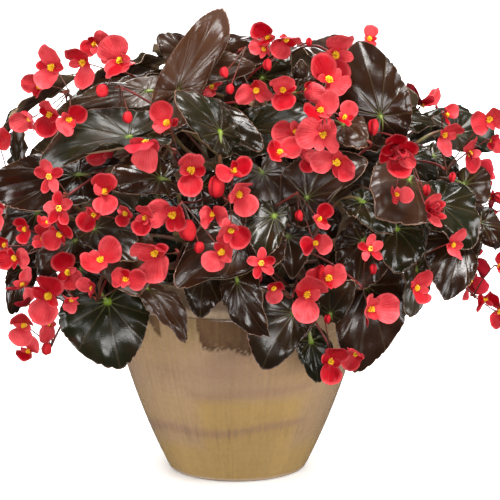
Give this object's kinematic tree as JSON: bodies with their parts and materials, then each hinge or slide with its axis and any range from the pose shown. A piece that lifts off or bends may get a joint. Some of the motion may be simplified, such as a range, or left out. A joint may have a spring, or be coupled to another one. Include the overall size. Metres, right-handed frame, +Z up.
{
  "type": "potted begonia",
  "caption": "Dark-leaved begonia with sprays of coral-red blooms, filling a glazed stoneware pot with a thick rim band.",
  "frame": {"origin": "middle of the pot's foot, on the surface that the pot stands on", "axes": "+Z up the pot's axis; -Y is the front that the picture shows, and +X is to its right"},
  "size_m": [0.6422, 0.584, 0.5743],
  "materials": {
    "glaze": "gloss",
    "soil": "matte",
    "leaf": "gloss",
    "bloom": "satin"
  },
  "bodies": {
    "root": {"pot": "glaze", "soil": "soil", "leafy_stem_01": "leaf", "leafy_stem_02": "leaf", "leafy_stem_03": "leaf", "leafy_stem_04": "leaf", "leafy_stem_05": "leaf", "leafy_stem_06": "leaf", "leafy_stem_07": "leaf", "leafy_stem_08": "leaf", "leafy_stem_09": "leaf", "leafy_stem_10": "leaf", "leafy_stem_11": "leaf", "leafy_stem_12": "leaf", "leafy_stem_13": "leaf", "leafy_stem_14": "leaf", "leafy_stem_15": "leaf", "leafy_stem_16": "leaf", "spray_01": "bloom", "spray_02": "bloom", "spray_03": "bloom", "spray_04": "bloom", "spray_05": "bloom", "spray_06": "bloom", "spray_07": "bloom", "spray_08": "bloom", "spray_09": "bloom", "spray_10": "bloom", "spray_11": "bloom", "spray_12": "bloom", "spray_13": "bloom", "spray_14": "bloom", "spray_15": "bloom", "spray_16": "bloom", "spray_17": "bloom", "spray_18": "bloom", "spray_19": "bloom", "spray_20": "bloom", "spray_21": "bloom", "spray_22": "bloom", "spray_23": "bloom", "spray_24": "bloom", "spray_25": "bloom", "spray_26": "bloom", "spray_27": "bloom", "spray_28": "bloom", "spray_29": "bloom", "spray_30": "bloom", "spray_31": "bloom", "spray_32": "bloom", "spray_33": "bloom", "spray_34": "bloom", "spray_35": "bloom", "spray_36": "bloom"}
  },
  "joints": []
}
